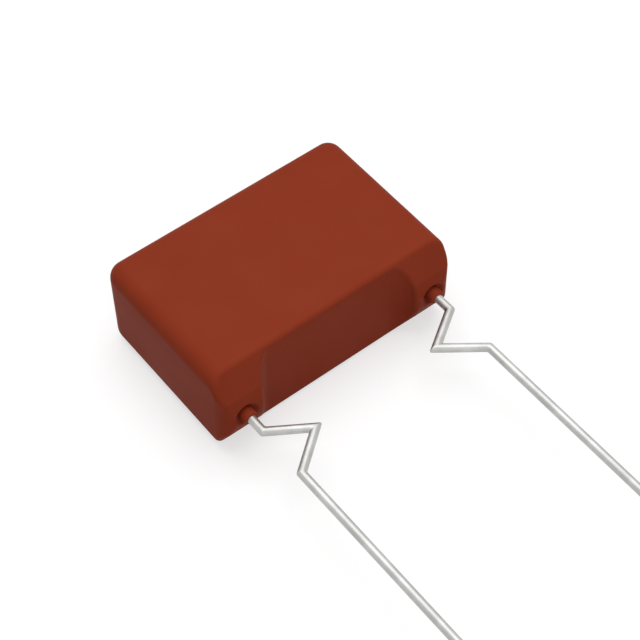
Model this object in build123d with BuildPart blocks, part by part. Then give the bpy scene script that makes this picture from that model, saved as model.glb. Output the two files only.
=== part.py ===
"""Radial film capacitor in a dipped epoxy coat, with two crimped leads, lying on one broad side.

Z is up through the thickness, the leads point along -Y, and the pitch between them lies along X. The
origin is the middle of the broad side that the coat rests on. All sizes are in millimetres.

Six pieces: the flattened film winding, the metal layer sprayed on each of its ends, the two wires welded
to those layers, and the coat that is dipped over all of them and takes their shape on its inside.
"""

import os
from math import cos, radians, sin, tan

from build123d import *

# The coat
lead_to_end = 1.68  # along X, from each lead's axis to the coat's end
coat_thickness = 7.15  # along Z, from one broad side to the other
broad_depth = 11.35  # along Y, from the back to the crease where the lead end begins
edge_round = 1.1  # the soft edges and corners of the whole coat, but for those of its lead end

# The lead end: two slopes that lean in to a crowned front
wedge_angle = 30.0  # degrees, lean of the slopes
front_lean = 21.0  # degrees, lean of the front where it meets the slopes
front_crown = 4.5  # radius of the front, seen from the end
front_edge_round = 0.5
lead_end_round = 0.4  # the edge all round the lead end, creases and all

# The pocket that leaves a foot round each lead
lead_to_pocket = 1.425  # along X, from each lead's axis to the pocket's wall
pocket_step = 0.16  # the pocket's floor stands this far in front of the crease
pocket_corner = 1.25  # hollow corner between floor and wall
pocket_rim_round = 0.28

# The collar of epoxy that creeps out along each lead, and the dish round it
collar_wall = 0.2  # epoxy round the wire
collar_rise = 0.42  # beyond the foot's front
collar_tip_round = 0.15
dish_width = 0.4  # from the collar to the dish's rim
dish_depth = 0.45
dish_rim_round = 0.15

# The leads
lead_pitch = 15.0
lead_diameter = 0.6
lead_length = 23.0  # from the feet's fronts to the cut ends
crimp_start = 1.6  # from the feet's fronts to the first bend
crimp_near = 1.75  # along Y, from the first bend to the inner one
crimp_far = 2.05  # along Y, from the inner bend to the last one
crimp_depth = 2.75  # how far the inner bend stands in towards the other lead
cut_end_chamfer = 0.06
weld_width = 0.75  # the flattened end, along Z
weld_thickness = 0.4  # the flattened end, along X
weld_length = 4.0  # the flattened end, along Y
weld_edge_round = 0.12
weld_taper = 0.9  # length over which the round wire becomes flat
weld_sink = 0.12  # depth to which the flat beds into the sprayed layer

# The element inside
spray_thickness = 0.4
spray_edge_bevel = 0.12
broad_wall = 0.8  # epoxy over the winding's broad sides
back_wall = 0.85  # epoxy behind the winding
front_wall = 0.9  # epoxy between the winding and the pocket's floor
core_gap = 0.12  # what is left of the winding's bore, pressed flat

# How far the outline that shapes the lead end stands off the rest of the block
clear = 1.0

# Places that follow from those sizes
lead_x = lead_pitch / 2
lead_radius = lead_diameter / 2
collar_radius = lead_radius + collar_wall
dish_radius = collar_radius + dish_width
middle_z = coat_thickness / 2
end_x = lead_x + lead_to_end
back_y = broad_depth / 2
crease_y = -broad_depth / 2
slope = tan(radians(wedge_angle))
front_half = front_crown * sin(radians(front_lean))
front_edge_y = crease_y - slope * (middle_z - front_half)
front_y = front_edge_y - front_crown * (1 - cos(radians(front_lean)))
pocket_floor_y = crease_y - pocket_step
pocket_half = lead_x - lead_to_pocket
weld_inner_x = lead_x - weld_thickness / 2
spray_outer_x = weld_inner_x + weld_sink
winding_half = spray_outer_x - spray_thickness
winding_height = coat_thickness - 2 * broad_wall
winding_front_y = pocket_floor_y + front_wall
winding_depth = back_y - back_wall - winding_front_y
winding_y = winding_front_y + winding_depth / 2


def across_lead(side, y):
    """The plane square to the lead on that side at y, facing out of the coat."""
    return Plane((side * lead_x, y, middle_z), x_dir=(1, 0, 0), z_dir=(0, -1, 0))


def lead_exit(side):
    """The plane through that lead, parallel to the broad sides, with its origin on the foot's front."""
    return Plane((side * lead_x, front_y, middle_z))


def winding_outline(x):
    """The outline of the flattened winding, square to the coat's length at x."""
    with BuildSketch(Plane.YZ.offset(x), mode=Mode.PRIVATE) as outline:
        with Locations((winding_y, middle_z)):
            SlotOverall(winding_depth, winding_height)
    return outline.sketch


# The winding: metallised film rolled up and pressed flat, so its bore is a closed slit
with BuildPart() as film_winding:
    extrude(winding_outline(0), amount=winding_half, both=True)
    with BuildSketch(Plane.YZ):
        with Locations((winding_y, middle_z)):
            SlotOverall(winding_depth - winding_height, core_gap)
    extrude(amount=winding_half, both=True, mode=Mode.SUBTRACT)

leads = []
end_sprays = []
for side, name in ((-1, "left"), (1, "right")):
    # The lead: a coined end that is welded on, then the round wire, crimped to hold the coat off the board
    with BuildPart() as lead:
        with BuildSketch(across_lead(side, winding_front_y)) as flat:
            RectangleRounded(weld_thickness, weld_width, radius=weld_edge_round)
        extrude(amount=-weld_length)
        with BuildSketch(across_lead(side, winding_front_y - weld_taper)) as round_end:
            Circle(lead_radius)
        loft([flat.sketch, round_end.sketch])
        stations = [
            Vector(side * lead_x, winding_front_y - weld_taper, middle_z),
            Vector(side * lead_x, front_y - crimp_start, middle_z),
            Vector(side * (lead_x - crimp_depth), front_y - crimp_start - crimp_near, middle_z),
            Vector(side * lead_x, front_y - crimp_start - crimp_near - crimp_far, middle_z),
            Vector(side * lead_x, front_y - lead_length, middle_z),
        ]
        for start, end in zip(stations, stations[1:]):
            with BuildSketch(Plane(start, z_dir=end - start)):
                Circle(lead_radius)
            extrude(amount=(end - start).length)
        with Locations(stations[1:-1]):
            Sphere(lead_radius)
        chamfer(lead.edges().group_by(Axis.Y)[0], length=cut_end_chamfer)
    lead.part.label = f"lead_{name}"
    leads.append(lead.part)

    # The layer of metal sprayed on the winding's end, with the flat of the lead bedded in it
    with BuildPart() as end_spray:
        extrude(winding_outline(side * winding_half), amount=side * spray_thickness)
        outer = end_spray.faces().sort_by(Axis.X)[-1 if side > 0 else 0]
        chamfer(outer.edges(), length=spray_edge_bevel)
        add(lead.part, mode=Mode.SUBTRACT)
    end_spray.part.label = f"end_spray_{name}"
    end_sprays.append(end_spray.part)

with BuildPart() as coating:
    # A block as deep as the front, with all its edges and corners soft
    with BuildSketch():
        with Locations((0, back_y)):
            Rectangle(2 * end_x, back_y - front_y, align=(Align.CENTER, Align.MAX))
    extrude(amount=coat_thickness)
    fillet(coating.edges(), radius=edge_round)

    # The lead end, shaped through the whole length: the two slopes with the crowned front between them
    with BuildSketch(Plane.YZ) as lead_end:
        with BuildLine():
            ThreePointArc(
                (front_edge_y, middle_z + front_half),
                (front_y, middle_z),
                (front_edge_y, middle_z - front_half),
            )
            Polyline(
                (front_edge_y, middle_z - front_half),
                (crease_y + clear * slope, -clear),
                (back_y + clear, -clear),
                (back_y + clear, coat_thickness + clear),
                (crease_y + clear * slope, coat_thickness + clear),
                (front_edge_y, middle_z + front_half),
            )
        make_face()
        fillet(lead_end.vertices().group_by(Axis.X)[0], radius=front_edge_round)
    extrude(amount=end_x + clear, both=True, mode=Mode.INTERSECT)
    fillet(coating.edges(Select.NEW), radius=lead_end_round)

    # The pocket between the feet, run through the whole thickness
    with BuildSketch() as pocket:
        with Locations((0, pocket_floor_y)):
            Rectangle(2 * pocket_half, coat_thickness, align=(Align.CENTER, Align.MAX))
        fillet(pocket.vertices().group_by(Axis.Y)[-1], radius=pocket_corner)
    extrude(amount=coat_thickness, mode=Mode.SUBTRACT)
    fillet(coating.edges(Select.NEW), radius=pocket_rim_round)

    # The dish that the epoxy draws back to round each lead
    for side in (-1, 1):
        with BuildSketch(lead_exit(side)):
            with BuildLine():
                TangentArc((0, dish_depth), (dish_radius, 0), tangent=(1, 0))
                Polyline((dish_radius, 0), (dish_radius, -dish_depth), (0, -dish_depth), (0, dish_depth))
            make_face()
        revolve(axis=Axis(lead_exit(side).origin, (0, 1, 0)), mode=Mode.SUBTRACT)
        fillet(coating.edges(Select.NEW), radius=dish_rim_round)

    # The collar that stands in each dish
    for side in (-1, 1):
        with BuildSketch(lead_exit(side)):
            with BuildLine() as collar:
                Polyline(
                    (0, dish_depth),
                    (0, -collar_rise),
                    (collar_radius, -collar_rise),
                    (collar_radius, dish_depth),
                    close=True,
                )
                fillet(collar.vertices().group_by(Axis.Y)[0].sort_by(Axis.X)[-1], radius=collar_tip_round)
            make_face()
        revolve(axis=Axis(lead_exit(side).origin, (0, 1, 0)))

    # The room inside, which the winding, its end layers and the leads fill
    extrude(winding_outline(0), amount=winding_half, both=True, mode=Mode.SUBTRACT)
    add(end_sprays + leads, mode=Mode.SUBTRACT)

film_winding.part.label = "film_winding"
coating.part.label = "coating"

os.makedirs("parts", exist_ok=True)
for piece in [film_winding.part, coating.part, *end_sprays, *leads]:
    export_step(piece, f"parts/{piece.label}.step")
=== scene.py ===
"""The looks of a radial film capacitor: a dipped epoxy coat with two crimped, tinned leads.

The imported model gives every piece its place. The leads are modelled here, with the sharp corners that a
forming tool leaves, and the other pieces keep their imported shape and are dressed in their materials. Sizes
are in millimetres unless a name says otherwise, and are turned to metres where they meet the scene.
"""

import logging
import math
from collections.abc import Callable
from dataclasses import dataclass, field
from enum import Enum

import bpy
from mathutils import Matrix, Vector

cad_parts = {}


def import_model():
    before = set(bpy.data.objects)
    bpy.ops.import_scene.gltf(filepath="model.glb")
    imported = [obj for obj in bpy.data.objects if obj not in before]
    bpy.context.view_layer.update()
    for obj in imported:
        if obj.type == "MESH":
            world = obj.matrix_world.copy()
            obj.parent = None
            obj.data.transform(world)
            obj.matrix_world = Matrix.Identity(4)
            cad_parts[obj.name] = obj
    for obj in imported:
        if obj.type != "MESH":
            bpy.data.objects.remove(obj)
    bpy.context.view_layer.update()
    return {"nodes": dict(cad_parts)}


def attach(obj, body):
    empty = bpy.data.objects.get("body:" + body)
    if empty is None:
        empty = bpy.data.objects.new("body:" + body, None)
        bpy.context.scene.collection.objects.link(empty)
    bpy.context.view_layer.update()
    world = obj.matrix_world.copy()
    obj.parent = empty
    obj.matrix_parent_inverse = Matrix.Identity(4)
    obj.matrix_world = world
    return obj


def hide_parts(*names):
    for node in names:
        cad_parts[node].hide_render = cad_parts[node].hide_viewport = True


log = logging.getLogger("film_capacitor")

MM = 0.001
PHOTO_PX = 640
SENSOR_MM = 36.0
CLIP_MM = (1.0, 10000.0)  # the nearest and the furthest that the camera sees
WHITE = (1.0, 1.0, 1.0, 1.0)

NOISE_BAND = (0.3, 0.7)  # where most of a noise texture's values lie
NOISE_CORE = (0.35, 0.65)  # a narrower band, which gives its patches clearer edges
WAVE_RATE = 20.0  # how far a wave texture of scale 1 turns in one metre, in radians

ON_PLANE = 0.001 * MM  # a middle this close to a plane lies on it
MERGE_GAP = 0.002 * MM  # vertices this close to each other are one
SMOOTH_ANGLE = math.radians(35)  # faces that meet at less than this are shaded smooth


class Side(Enum):
    """The two ends of the capacitor, by the sign of X."""

    LEFT = -1
    RIGHT = 1


class Slot(Enum):
    """The record's material slots."""

    COAT = "epoxy_coat"
    WIRE = "tinned_wire"
    SPRAY = "sprayed_metal"
    FILM = "metallised_film"


class MeshPart(Enum):
    """What is selected in edit mode, by Blender's name for it."""

    VERTEX = "VERT"
    EDGE = "EDGE"


def linear(colour: str) -> tuple[float, float, float, float]:
    """Turns an sRGB colour to linear light.

    Args:
        colour: Six hex digits, such as "8C3824".

    Returns:
        The linear red, green, blue and an alpha of 1.
    """
    channels = [int(colour[i : i + 2], 16) / 255 for i in (0, 2, 4)]
    light = [c / 12.92 if c <= 0.04045 else ((c + 0.055) / 1.055) ** 2.4 for c in channels]
    return (light[0], light[1], light[2], 1.0)


def add_node(
    material: bpy.types.Material | bpy.types.World,
    kind: str,
    inputs: dict[str | int, object] | None = None,
    stops: dict[float, str] | None = None,
    **settings: object,
) -> bpy.types.Node:
    """Adds one node to a material, sets it up and links it.

    Args:
        material: The material or world whose node tree takes the node.
        kind: The node's type, such as "ShaderNodeTexNoise".
        inputs: A value or an output socket for each input socket, by the socket's name or number.
        stops: The sRGB colours of its ramp's two stops, by their places in rising order, if it has a ramp.
        **settings: The node's own properties.

    Returns:
        The new node.
    """
    node = material.node_tree.nodes.new(kind)
    for name, value in settings.items():
        setattr(node, name, value)
    if stops:
        for element, (place, colour) in zip(node.color_ramp.elements, stops.items()):
            element.position, element.color = place, linear(colour)
    for name, value in (inputs or {}).items():
        socket = node.inputs[name]
        if isinstance(value, bpy.types.NodeSocket):
            material.node_tree.links.new(value, socket)
        else:
            socket.default_value = value
    return node


def blank_material(name: str) -> bpy.types.Material:
    """Makes a material with an empty node tree.

    Args:
        name: The material's name.

    Returns:
        The new material.
    """
    material = bpy.data.materials.new(name)
    material.use_nodes = True
    material.node_tree.nodes.clear()
    return material


def background_ray(material: bpy.types.Material | bpy.types.World) -> bpy.types.NodeSocket:
    """Tells the rays that show the background from those that light the object.

    Args:
        material: The material or world whose node tree takes the nodes.

    Returns:
        What is 1 for a ray from the camera, or one that metal or glass sends on, and 0 for any other.
    """
    ray = add_node(material, "ShaderNodeLightPath").outputs
    sent_on = add_node(
        material,
        "ShaderNodeMath",
        {0: ray["Is Glossy Ray"], 1: ray["Is Transmission Ray"]},
        operation="MAXIMUM",
    ).outputs[0]
    return add_node(
        material, "ShaderNodeMath", {0: ray["Is Camera Ray"], 1: sent_on}, operation="MAXIMUM"
    ).outputs[0]


@dataclass(frozen=True)
class DippedEpoxy:
    """Red-brown epoxy powder coat, dipped hot and baked: opaque, smooth and softly glossy.

    The melt levels itself, so there is no grain. What is left for the eye is a very shallow orange peel,
    pigment that gathers slightly in clouds, and a gloss that varies a little from place to place. The
    reflection is matched to the photograph, and is much weaker than that of an epoxy in general.
    """

    colour: str = "913A24"
    darker: str = "8E3721"
    cloud_mm: float = 3.5  # across a cloud of pigment
    peel_mm: float = 0.9  # across a swell of the orange peel
    peel_height_mm: float = 0.004
    gloss: tuple[float, float] = (0.42, 0.5)  # roughness, from the glossier places to the duller ones
    ior: float = 1.5
    specular: float = 0.02

    def build(self) -> bpy.types.Material:
        """Makes the material.

        Returns:
            The new material.
        """
        low, high = NOISE_BAND
        material = blank_material("dipped_epoxy")
        place = add_node(material, "ShaderNodeTexCoord").outputs["Object"]
        clouds = add_node(
            material,
            "ShaderNodeTexNoise",
            {"Vector": place, "Scale": 1 / (self.cloud_mm * MM), "Detail": 3.0, "Roughness": 0.5},
        ).outputs["Fac"]
        colour = add_node(
            material, "ShaderNodeValToRGB", {"Fac": clouds}, stops={low: self.darker, high: self.colour}
        ).outputs["Color"]
        roughness = add_node(
            material,
            "ShaderNodeMapRange",
            {
                "Value": clouds,
                "From Min": low,
                "From Max": high,
                "To Min": self.gloss[1],
                "To Max": self.gloss[0],
            },
        ).outputs["Result"]
        peel = add_node(
            material,
            "ShaderNodeTexNoise",
            {"Vector": place, "Scale": 1 / (self.peel_mm * MM), "Detail": 1.0, "Roughness": 0.4},
        ).outputs["Fac"]
        bump = add_node(
            material,
            "ShaderNodeBump",
            {"Height": peel, "Strength": 1.0, "Distance": self.peel_height_mm * MM},
        ).outputs["Normal"]
        shader = add_node(
            material,
            "ShaderNodeBsdfPrincipled",
            {
                "Base Color": colour,
                "Roughness": roughness,
                "Normal": bump,
                "IOR": self.ior,
                "Specular IOR Level": self.specular,
            },
        )
        add_node(material, "ShaderNodeOutputMaterial", {"Surface": shader.outputs["BSDF"]})
        return material


@dataclass(frozen=True)
class TinnedWire:
    """Copper-clad steel wire, drawn and hot-tinned: a bright grey metal with a satin face.

    Drawing leaves fine streaks along the wire, and the tin that froze on it gives soft pools of duller metal.
    """

    colour: str = "BEBEBC"
    dull: str = "AEAEAC"
    streak_mm: float = 0.05  # across a drawing streak, far coarser than the real ones so that they show
    streak_length_mm: float = 6.0
    pool_mm: float = 1.4  # across a pool of duller tin
    polish: tuple[float, float] = (0.4, 0.54)  # roughness, from the smoother streaks to the duller ones
    streak_height_mm: float = 0.0015

    def build(self) -> bpy.types.Material:
        """Makes the material, which follows the wire's UV map: U runs along the wire and V round it.

        Returns:
            The new material.
        """
        material = blank_material("tinned_wire")
        uv = add_node(material, "ShaderNodeTexCoord").outputs["UV"]
        stretched = add_node(
            material,
            "ShaderNodeMapping",
            {"Vector": uv, "Scale": (1 / self.streak_length_mm, 1 / self.streak_mm, 1.0)},
        ).outputs["Vector"]
        streaks = add_node(
            material, "ShaderNodeTexNoise", {"Vector": stretched, "Scale": 1.0, "Detail": 2.0}
        ).outputs["Fac"]
        pools = add_node(
            material, "ShaderNodeTexNoise", {"Vector": uv, "Scale": 1 / self.pool_mm, "Detail": 2.0}
        ).outputs["Fac"]
        colour = add_node(
            material,
            "ShaderNodeValToRGB",
            {"Fac": pools},
            stops={NOISE_CORE[0]: self.dull, NOISE_CORE[1]: self.colour},
        ).outputs["Color"]
        roughness = add_node(
            material,
            "ShaderNodeMapRange",
            {
                "Value": streaks,
                "From Min": NOISE_BAND[0],
                "From Max": NOISE_BAND[1],
                "To Min": self.polish[0],
                "To Max": self.polish[1],
            },
        ).outputs["Result"]
        bump = add_node(
            material,
            "ShaderNodeBump",
            {"Height": streaks, "Strength": 1.0, "Distance": self.streak_height_mm * MM},
        ).outputs["Normal"]
        shader = add_node(
            material,
            "ShaderNodeBsdfPrincipled",
            {"Base Color": colour, "Metallic": 1.0, "Roughness": roughness, "Normal": bump},
        )
        add_node(material, "ShaderNodeOutputMaterial", {"Surface": shader.outputs["BSDF"]})
        return material


@dataclass(frozen=True)
class SprayedZinc:
    """Zinc sprayed hot on the winding's end: dull, light grey and grainy, from droplets that froze on it."""

    colour: str = "A9AAAB"
    shadow: str = "7E8083"
    droplet_mm: float = 0.12
    droplet_height_mm: float = 0.03
    roughness: float = 0.62

    def build(self) -> bpy.types.Material:
        """Makes the material.

        Returns:
            The new material.
        """
        low, high = NOISE_CORE
        material = blank_material("sprayed_zinc")
        place = add_node(material, "ShaderNodeTexCoord").outputs["Object"]
        grain = add_node(
            material,
            "ShaderNodeTexNoise",
            {"Vector": place, "Scale": 1 / (self.droplet_mm * MM), "Detail": 4.0, "Roughness": 0.6},
        ).outputs["Fac"]
        colour = add_node(
            material, "ShaderNodeValToRGB", {"Fac": grain}, stops={low: self.shadow, high: self.colour}
        ).outputs["Color"]
        bump = add_node(
            material,
            "ShaderNodeBump",
            {"Height": grain, "Strength": 1.0, "Distance": self.droplet_height_mm * MM},
        ).outputs["Normal"]
        shader = add_node(
            material,
            "ShaderNodeBsdfPrincipled",
            {"Base Color": colour, "Metallic": 1.0, "Roughness": self.roughness, "Normal": bump},
        )
        add_node(material, "ShaderNodeOutputMaterial", {"Surface": shader.outputs["BSDF"]})
        return material


@dataclass(frozen=True)
class MetallisedFilm:
    """Polyester film with a vapour-deposited metal layer, rolled up: silvery, with the lines of its turns."""

    colour: str = "C4C5C8"
    line: str = "8F9196"
    line_edges: tuple[float, float] = (0.1, 0.6)  # where the wave leaves the line and where it is plain film
    radian_mm: float = 0.16  # for a line about every 1 mm, far coarser than the real turns so that they show
    roughness: float = 0.3

    def build(self) -> bpy.types.Material:
        """Makes the material, with bands across the winding's thickness: its turns, seen from the end.

        Returns:
            The new material.
        """
        line_end, film_start = self.line_edges
        material = blank_material("metallised_polyester_film")
        place = add_node(material, "ShaderNodeTexCoord").outputs["Object"]
        turns = add_node(
            material,
            "ShaderNodeTexWave",
            {
                "Vector": place,
                "Scale": 1 / (self.radian_mm * MM * WAVE_RATE),
                "Distortion": 0.6,
                "Detail": 1.0,
            },
            wave_type="BANDS",
            bands_direction="Z",
        ).outputs["Fac"]
        colour = add_node(
            material,
            "ShaderNodeValToRGB",
            {"Fac": turns},
            stops={line_end: self.line, film_start: self.colour},
        ).outputs["Color"]
        shader = add_node(
            material,
            "ShaderNodeBsdfPrincipled",
            {"Base Color": colour, "Metallic": 0.9, "Roughness": self.roughness},
        )
        add_node(material, "ShaderNodeOutputMaterial", {"Surface": shader.outputs["BSDF"]})
        return material


def deselect_all() -> None:
    """Leaves nothing selected in object mode."""
    bpy.ops.object.select_all(action="DESELECT")


def select_mesh(kind: MeshPart, test: Callable[[Vector], bool]) -> None:
    """Selects parts of the mesh in edit mode by where their middles lie.

    Args:
        kind: What is selected.
        test: Tells, from a middle in metres, whether that part is wanted.
    """
    bpy.ops.mesh.select_mode(type=kind.value)
    bpy.ops.mesh.select_all(action="DESELECT")
    bpy.ops.object.mode_set(mode="OBJECT")
    mesh = bpy.context.object.data
    if kind is MeshPart.VERTEX:
        middles = [(vertex, vertex.co) for vertex in mesh.vertices]
    else:
        ends = mesh.vertices
        middles = [
            (edge, (ends[edge.vertices[0]].co + ends[edge.vertices[1]].co) / 2) for edge in mesh.edges
        ]
    for part, middle in middles:
        part.select = test(middle)
    bpy.ops.object.mode_set(mode="EDIT")


@dataclass
class Lead:
    """A lead: round tinned wire, crimped in one plane, with a flattened end that is welded inside the coat."""

    side: Side
    wire: bpy.types.Material
    pitch: float = 15.0
    diameter: float = 0.6
    foot_front: float = -7.107  # along Y, where the lead leaves the coat
    crimp_start: float = 1.6
    crimp_near: float = 1.75
    crimp_far: float = 2.05
    crimp_depth: float = 2.68
    length: float = 23.0
    bend_round: float = 0.09  # what the forming tool leaves of the wire's sharp corners
    bend_segments: int = 4
    cut_round: float = 0.05
    cut_segments: int = 3
    taper_start: float = -5.835  # along Y, where the round wire begins to flatten
    taper_end: float = -4.935
    flat_end: float = -0.935
    flat_width: float = 0.75
    flat_thickness: float = 0.4
    middle_z: float = 3.575
    sides: int = 40
    object: bpy.types.Object | None = field(default=None, init=False)

    @property
    def bend_reach(self) -> float:
        """How far a mitre can reach from its corner, with room to spare."""
        return self.diameter * 2

    def corners(self) -> list[Vector]:
        """Gives the wire's path.

        Returns:
            Its corners in millimetres, from where it begins to flatten to its cut end.
        """
        x = self.side.value * self.pitch / 2
        bend = self.foot_front - self.crimp_start
        return [
            Vector((x, self.taper_start, self.middle_z)),
            Vector((x, bend, self.middle_z)),
            Vector((x - self.side.value * self.crimp_depth, bend - self.crimp_near, self.middle_z)),
            Vector((x, bend - self.crimp_near - self.crimp_far, self.middle_z)),
            Vector((x, self.foot_front - self.length, self.middle_z)),
        ]

    def add_leg(
        self, start: Vector, end: Vector, before: Vector | None, after: Vector | None
    ) -> bpy.types.Object:
        """Adds one straight leg of the wire, mitred to its neighbours.

        Args:
            start: Where the leg starts, in millimetres.
            end: Where it ends.
            before: The direction of the leg before it, or None.
            after: The direction of the leg after it, or None.

        Returns:
            The leg's object.
        """
        along = (end - start).normalized()
        low = start - along * (0 if before is None else self.bend_reach)
        high = end + along * (0 if after is None else self.bend_reach)
        turn = math.atan2(along.y, along.x)
        bpy.ops.mesh.primitive_cylinder_add(
            vertices=self.sides,
            radius=self.diameter / 2 * MM,
            depth=(high - low).length * MM,
            end_fill_type="NOTHING",
            location=(low + high) / 2 * MM,
            rotation=(0, math.pi / 2, turn),
        )
        leg = bpy.context.object
        bpy.ops.object.transform_apply(location=True, rotation=True, scale=True)
        bpy.ops.object.mode_set(mode="EDIT")
        for corner, other, outwards in ((start, before, -1), (end, after, 1)):
            if other is None:
                continue
            bpy.ops.mesh.select_all(action="SELECT")
            bpy.ops.mesh.bisect(
                plane_co=corner * MM, plane_no=(along + other).normalized() * outwards, clear_outer=True
            )
        bpy.ops.object.mode_set(mode="OBJECT")
        return leg

    def build(self) -> "Lead":
        """Builds the whole wire as one closed mesh, and unwraps it along its length.

        Returns:
            The lead itself.
        """
        deselect_all()
        path = self.corners()
        runs = [(end - start).normalized() for start, end in zip(path, path[1:])]
        neighbours = [None, *runs, None]
        legs = [
            self.add_leg(start, end, before, after)
            for start, end, before, after in zip(path, path[1:], neighbours, neighbours[2:])
        ]
        deselect_all()
        for leg in legs:
            leg.select_set(True)
        bpy.context.view_layer.objects.active = legs[0]
        bpy.ops.object.join()
        wire = bpy.context.object
        wire.name = wire.data.name = f"wire_{self.side.name.lower()}"
        bpy.ops.object.mode_set(mode="EDIT")
        bpy.ops.mesh.select_all(action="SELECT")
        bpy.ops.mesh.remove_doubles(threshold=MERGE_GAP)
        self.flatten_weld_end()
        self.close_cut_end()
        bpy.ops.mesh.select_all(action="SELECT")
        bpy.ops.mesh.normals_make_consistent(inside=False)
        bpy.ops.object.mode_set(mode="OBJECT")
        self.object = wire
        self.unwrap(path)
        self.round_bends(path)
        bpy.ops.object.shade_smooth_by_angle(angle=SMOOTH_ANGLE)
        self.dress()
        return self

    def flatten_weld_end(self) -> None:
        """Draws the wire on into the coat, flattens it to an oval and closes it."""
        start = self.taper_start * MM
        select_mesh(MeshPart.VERTEX, lambda middle: abs(middle.y - start) < ON_PLANE)
        bpy.ops.mesh.extrude_region_move(
            TRANSFORM_OT_translate={"value": (0, (self.taper_end - self.taper_start) * MM, 0)}
        )
        squeeze = (self.flat_thickness / self.diameter, 1, self.flat_width / self.diameter)
        bpy.ops.transform.resize(value=squeeze)
        bpy.ops.mesh.extrude_region_move(
            TRANSFORM_OT_translate={"value": (0, (self.flat_end - self.taper_end) * MM, 0)}
        )
        bpy.ops.mesh.edge_face_add()

    def close_cut_end(self) -> None:
        """Closes the cut end and takes off its sharp rim, as the cutter's pinch does."""
        end = (self.foot_front - self.length) * MM
        select_mesh(MeshPart.VERTEX, lambda middle: abs(middle.y - end) < ON_PLANE)
        bpy.ops.mesh.edge_face_add()
        select_mesh(MeshPart.EDGE, lambda middle: abs(middle.y - end) < ON_PLANE)
        bpy.ops.mesh.bevel(offset=self.cut_round * MM, segments=self.cut_segments, affect="EDGES")

    def round_bends(self, path: list[Vector]) -> None:
        """Rounds the mitred corners a little.

        Args:
            path: The wire's corners, in millimetres.
        """
        bpy.ops.object.mode_set(mode="EDIT")
        mitres = []
        for before, corner, after in zip(path, path[1:], path[2:]):
            across = (corner - before).normalized() + (after - corner).normalized()
            mitres.append((corner * MM, across.normalized()))
        reach = self.bend_reach * MM
        select_mesh(
            MeshPart.EDGE,
            lambda middle: any(
                abs((middle - corner).dot(normal)) < ON_PLANE and (middle - corner).length < reach
                for corner, normal in mitres
            ),
        )
        bpy.ops.mesh.bevel(
            offset=self.bend_round * MM, offset_type="OFFSET", segments=self.bend_segments, affect="EDGES"
        )
        bpy.ops.object.mode_set(mode="OBJECT")

    def unwrap(self, path: list[Vector]) -> None:
        """Gives the wire a UV map in millimetres: U is the way along it and V the way round it.

        Args:
            path: The wire's corners, in millimetres.
        """
        mesh = self.object.data
        layer = mesh.uv_layers.active
        starts, total = [], 0.0
        for start, end in zip(path, path[1:]):
            starts.append(total)
            total += (end - start).length
        for face in mesh.polygons:
            middle = face.center / MM
            leg = min(range(len(starts)), key=lambda i: self.away(middle, path[i], path[i + 1]))
            along = (path[leg + 1] - path[leg]).normalized()
            across = along.cross(Vector((0, 0, 1)))
            spokes = [
                mesh.vertices[mesh.loops[loop].vertex_index].co / MM - path[leg] for loop in face.loop_indices
            ]
            angles = [math.atan2(spoke.z, spoke.dot(across)) for spoke in spokes]
            if max(angles) - min(angles) > math.pi:  # the face lies across the place where a turn ends
                angles = [angle + 2 * math.pi if angle < 0 else angle for angle in angles]
            for loop, spoke, angle in zip(face.loop_indices, spokes, angles):
                layer.data[loop].uv = (starts[leg] + spoke.dot(along), angle * self.diameter / 2)

    @staticmethod
    def away(point: Vector, start: Vector, end: Vector) -> float:
        """Measures how far a point is from the stretch between two others.

        Args:
            point: The point.
            start: Where the stretch starts.
            end: Where it ends.

        Returns:
            The distance, in the points' own unit.
        """
        along = end - start
        part = max(0.0, min(1.0, (point - start).dot(along) / along.length_squared))
        return (point - start - along * part).length

    def dress(self) -> None:
        """Gives the wire its material and its body, and hides the CAD node that it stands for."""
        self.object.data.materials.clear()
        self.object.data.materials.append(self.wire)
        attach(self.object, "root")
        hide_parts(f"lead_{self.side.name.lower()}")


@dataclass
class Packed:
    """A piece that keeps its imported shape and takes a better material."""

    node: str
    slot: Slot
    material: bpy.types.Material

    def build(self, nodes: dict[str, bpy.types.Object]) -> "Packed":
        """Dresses the piece.

        Args:
            nodes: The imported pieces, by name.

        Returns:
            The piece itself.
        """
        for holder in nodes[self.node].material_slots:
            holder.material = self.material
        return self


@dataclass(frozen=True)
class SoftLamp:
    """A square soft lamp that points at the object."""

    name: str
    place: tuple[float, float, float]
    size: float  # its side
    light: float  # what it adds at the object, where 1 lights a white face that looks at it fully

    def build(self) -> None:
        """Hangs the lamp in its place."""
        away = Vector(self.place) * MM
        data = bpy.data.lights.new(self.name, "AREA")
        data.shape, data.size = "SQUARE", self.size * MM
        data.energy = self.light * math.pi * away.length_squared * math.pi
        lamp = bpy.data.objects.new(self.name, data)
        bpy.context.collection.objects.link(lamp)
        lamp.location = away
        lamp.rotation_euler = away.to_track_quat("Z", "Y").to_euler()


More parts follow.
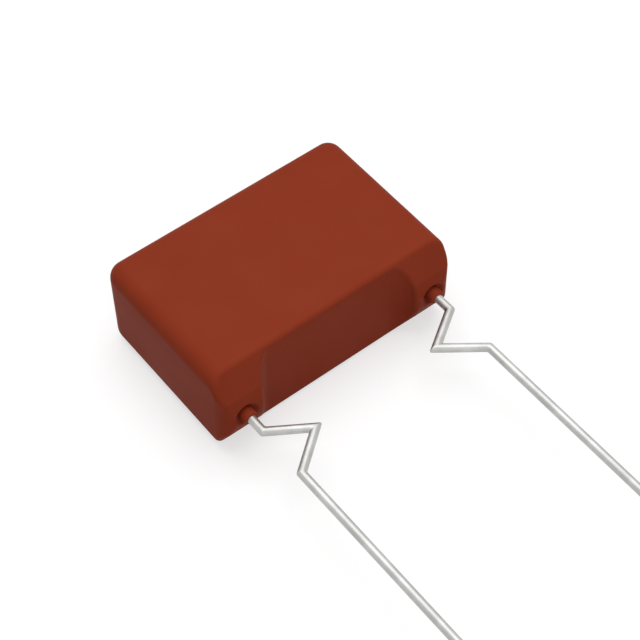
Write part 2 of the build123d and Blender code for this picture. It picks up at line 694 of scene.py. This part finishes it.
@dataclass
class Studio:
    """A pale floor and backdrop in one, soft lamps overhead, and the camera at the photograph's angle."""

    elevation: float = 52.813  # degrees
    azimuth: float = -38.085
    roll: float = -0.309
    distance: float = 114.67
    focal_px: float = 1728.2
    aim: tuple[float, float, float] = (0.0, -0.274, 0.0)
    framing: tuple[float, float] = (2.784, -0.049)  # right of the aim and up from it, in the picture's plane
    even_light: float = 0.42  # from all round
    lamps: tuple[SoftLamp, ...] = (
        SoftLamp("overhead", (30.0, 50.0, 260.0), size=260.0, light=0.6),
        SoftLamp("front_fill", (-40.0, -260.0, 110.0), size=160.0, light=0.13),
    )
    floor_size: float = 3000.0
    floor_drop: float = 0.02  # below the object, so that the two faces don't fight
    floor_colour: str = "BCBCBC"  # what the camera sees of it, which takes the object's shadow
    floor_lift: float = 0.6  # light added to that, so that it shows white outside the shadow
    floor_bounce: str = "B0B0B0"  # what lights the object from it

    def build(self) -> None:
        """Builds the floor, the lamps and the camera."""
        self.add_world()
        self.add_floor()
        for lamp in self.lamps:
            lamp.build()
        self.add_camera()

    def add_world(self) -> None:
        """Lights the scene evenly from all round, and shows white behind it."""
        world = bpy.data.worlds.new("studio")
        bpy.context.scene.world = world
        world.use_nodes = True
        world.node_tree.nodes.clear()
        seen = add_node(world, "ShaderNodeBackground", {"Color": WHITE, "Strength": 1.0})
        even = add_node(world, "ShaderNodeBackground", {"Color": WHITE, "Strength": self.even_light})
        mixed = add_node(
            world,
            "ShaderNodeMixShader",
            {0: background_ray(world), 1: even.outputs[0], 2: seen.outputs[0]},
        )
        add_node(world, "ShaderNodeOutputWorld", {"Surface": mixed.outputs[0]})

    def add_floor(self) -> None:
        """Adds the floor, which shows white but keeps the object's shadow."""
        bpy.ops.mesh.primitive_plane_add(size=self.floor_size * MM, location=(0, 0, -self.floor_drop * MM))
        floor = bpy.context.object
        floor.name = "floor"
        material = blank_material("pale_floor")
        bounce = add_node(material, "ShaderNodeBsdfDiffuse", {"Color": linear(self.floor_bounce)})
        shadowed = add_node(material, "ShaderNodeBsdfDiffuse", {"Color": linear(self.floor_colour)})
        lift = add_node(material, "ShaderNodeEmission", {"Color": WHITE, "Strength": self.floor_lift})
        shown = add_node(material, "ShaderNodeAddShader", {0: shadowed.outputs[0], 1: lift.outputs[0]})
        mixed = add_node(
            material,
            "ShaderNodeMixShader",
            {0: background_ray(material), 1: bounce.outputs[0], 2: shown.outputs[0]},
        )
        add_node(material, "ShaderNodeOutputMaterial", {"Surface": mixed.outputs[0]})
        floor.data.materials.append(material)

    def add_camera(self) -> None:
        """Adds the camera, with no depth of field and no shift."""
        elevation, azimuth, roll = (math.radians(a) for a in (self.elevation, self.azimuth, self.roll))
        back = Vector(
            (
                math.sin(azimuth) * math.cos(elevation),
                -math.cos(azimuth) * math.cos(elevation),
                math.sin(elevation),
            )
        )
        right = Vector((0, 0, 1)).cross(back).normalized()
        up = back.cross(right)
        target = Vector(self.aim) + right * self.framing[0] + up * self.framing[1]
        turned_right = right * math.cos(roll) + up * math.sin(roll)
        turned_up = up * math.cos(roll) - right * math.sin(roll)
        data = bpy.data.cameras.new("photo_camera")
        data.sensor_width = SENSOR_MM
        data.lens = self.focal_px / PHOTO_PX * SENSOR_MM
        data.clip_start, data.clip_end = (distance * MM for distance in CLIP_MM)
        camera = bpy.data.objects.new("photo_camera", data)
        bpy.context.collection.objects.link(camera)
        turn = Matrix((turned_right, turned_up, back)).transposed()
        camera.matrix_world = Matrix.Translation((target + back * self.distance) * MM) @ turn.to_4x4()
        bpy.context.scene.camera = camera


def main() -> None:
    """Builds the whole scene in order."""
    logging.basicConfig(level=logging.INFO, format="%(name)s: %(message)s")
    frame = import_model()
    deselect_all()
    bpy.context.scene.view_settings.view_transform = "Standard"

    wire = TinnedWire().build()
    zinc = SprayedZinc().build()
    pieces = [
        Packed("coating", Slot.COAT, DippedEpoxy().build()),
        Packed("film_winding", Slot.FILM, MetallisedFilm().build()),
        Packed("end_spray_left", Slot.SPRAY, zinc),
        Packed("end_spray_right", Slot.SPRAY, zinc),
    ]
    for piece in pieces:
        piece.build(frame["nodes"])
        log.info("dressed %s in %s", piece.node, piece.material.name)
    for side in Side:
        lead = Lead(side, wire).build()
        log.info("built %s with %d faces", lead.object.name, len(lead.object.data.polygons))
    Studio().build()
    log.info("built the floor, the lamps and the camera")


if __name__ == "__main__":
    main()
